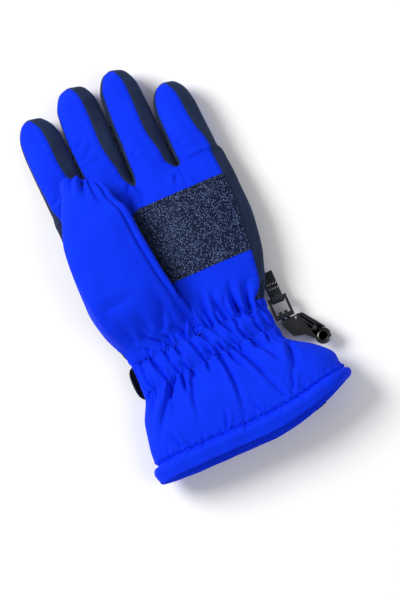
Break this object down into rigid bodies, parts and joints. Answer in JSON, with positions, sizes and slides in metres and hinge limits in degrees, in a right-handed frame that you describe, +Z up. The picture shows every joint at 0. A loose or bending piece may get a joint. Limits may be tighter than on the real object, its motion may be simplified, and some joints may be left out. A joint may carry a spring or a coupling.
{
  "type": "ski glove",
  "caption": "Padded left-hand ski glove with boxed fingers, folded thumb, gripping palm, gathered wrist, flared cuff, wrist strap and side clip.",
  "frame": {"origin": "under the middle of the glove, on the plane it rests on", "axes": "+Y from the cuff to the fingertips, +X to the little-finger side, +Z up out of the palm; the glove lies on its back"},
  "size_m": [0.1477, 0.2794, 0.0553],
  "materials": {
    "blue_softshell": "matte woven softshell with a slight sheen",
    "black_softshell": "matte woven softshell",
    "grip_fabric": "matte, printed with small raised grip marks",
    "fleece_lining": "brushed fleece",
    "wadding": "loose fibre wadding",
    "elastic": "braided elastic",
    "black_webbing": "woven webbing",
    "loop_fabric": "brushed loops",
    "hook_fabric": "moulded hooks",
    "black_plastic": "glossy moulded plastic"
  },
  "bodies": {
    "hand": {"palm_panel": "blue_softshell", "back_panel": "blue_softshell", "radial_side_band": "black_softshell", "ulnar_side_band": "black_softshell", "fourchette_index_middle": "black_softshell", "fourchette_middle_ring": "black_softshell", "fourchette_ring_little": "black_softshell", "palm_grip_patch": "grip_fabric", "palm_insulation": "wadding", "back_insulation": "wadding", "hand_lining": "fleece_lining", "thumb_base": "blue_softshell", "clip_webbing": "black_webbing"},
    "index_finger": {"index_front": "blue_softshell", "index_back": "blue_softshell", "index_band": "black_softshell", "index_lining": "fleece_lining"},
    "middle_finger": {"middle_front": "blue_softshell", "middle_back": "blue_softshell", "middle_band": "black_softshell", "middle_lining": "fleece_lining"},
    "ring_finger": {"ring_front": "blue_softshell", "ring_back": "blue_softshell", "ring_band": "black_softshell", "ring_lining": "fleece_lining"},
    "little_finger": {"little_front": "blue_softshell", "little_back": "blue_softshell", "little_band": "black_softshell", "little_lining": "fleece_lining"},
    "thumb": {"thumb_outer_panel": "blue_softshell", "thumb_welt": "blue_softshell", "thumb_grip_pad": "grip_fabric", "thumb_lining": "fleece_lining"},
    "cuff": {"wrist_band_palm": "blue_softshell", "wrist_band_back": "blue_softshell", "wrist_elastic": "elastic", "strap_loop_patch": "loop_fabric", "cuff_palm_panel": "blue_softshell", "cuff_back_panel": "blue_softshell", "cuff_hem": "blue_softshell", "cuff_lining": "fleece_lining", "strap_anchor": "black_webbing"},
    "strap": {"wrist_strap": "black_webbing", "strap_hook_pad": "hook_fabric"},
    "ring": {"clip_ring": "black_plastic"},
    "hook": {"clip_hook": "black_plastic"},
    "gate": {"clip_gate": "black_plastic"}
  },
  "joints": [
    {"name": "index_curl", "type": "hinge", "parent": "hand", "child": "index_finger", "pos_m": [-0.05517, 0.09227, 0.0128], "axis": [0.9996, 0.0274, 0], "range_deg": [0, 55]},
    {"name": "middle_curl", "type": "hinge", "parent": "hand", "child": "middle_finger", "pos_m": [-0.02253, 0.09227, 0.0128], "axis": [0.9997, -0.0244, 0], "range_deg": [0, 55]},
    {"name": "ring_curl", "type": "hinge", "parent": "hand", "child": "ring_finger", "pos_m": [0.00817, 0.08927, 0.0128], "axis": [0.9996, -0.0296, 0], "range_deg": [0, 75]},
    {"name": "little_curl", "type": "hinge", "parent": "hand", "child": "little_finger", "pos_m": [0.04037, 0.08127, 0.0128], "axis": [0.9994, 0.0339, 0], "range_deg": [0, 75]},
    {"name": "thumb_lift", "type": "hinge", "parent": "hand", "child": "thumb", "pos_m": [-0.04318, -0.01672, 0.05], "axis": [0.7071, -0.7071, 0], "range_deg": [0, 50]},
    {"name": "wrist_bend", "type": "hinge", "parent": "hand", "child": "cuff", "pos_m": [-0.00818, -0.05172, 0.0166], "axis": [1, 0, 0], "range_deg": [-25, 25]},
    {"name": "strap_peel", "type": "hinge", "parent": "cuff", "child": "strap", "pos_m": [0.02672, -0.06922, 0.0019], "axis": [0, -1, 0], "range_deg": [0, 60]},
    {"name": "ring_swing", "type": "hinge", "parent": "hand", "child": "ring", "pos_m": [0.04982, -0.05472, 0.01], "axis": [1, 0, 0], "range_deg": [-70, 70]},
    {"name": "hook_swing", "type": "hinge", "parent": "ring", "child": "hook", "pos_m": [0.04982, -0.06722, 0.01], "axis": [1, 0, 0], "range_deg": [-60, 60]},
    {"name": "gate_press", "type": "hinge", "parent": "hook", "child": "gate", "pos_m": [0.06532, -0.08342, 0.01], "axis": [0, 0, 1], "range_deg": [0, 10], "stiffness_Nm_per_rad": 0.001}
  ]
}
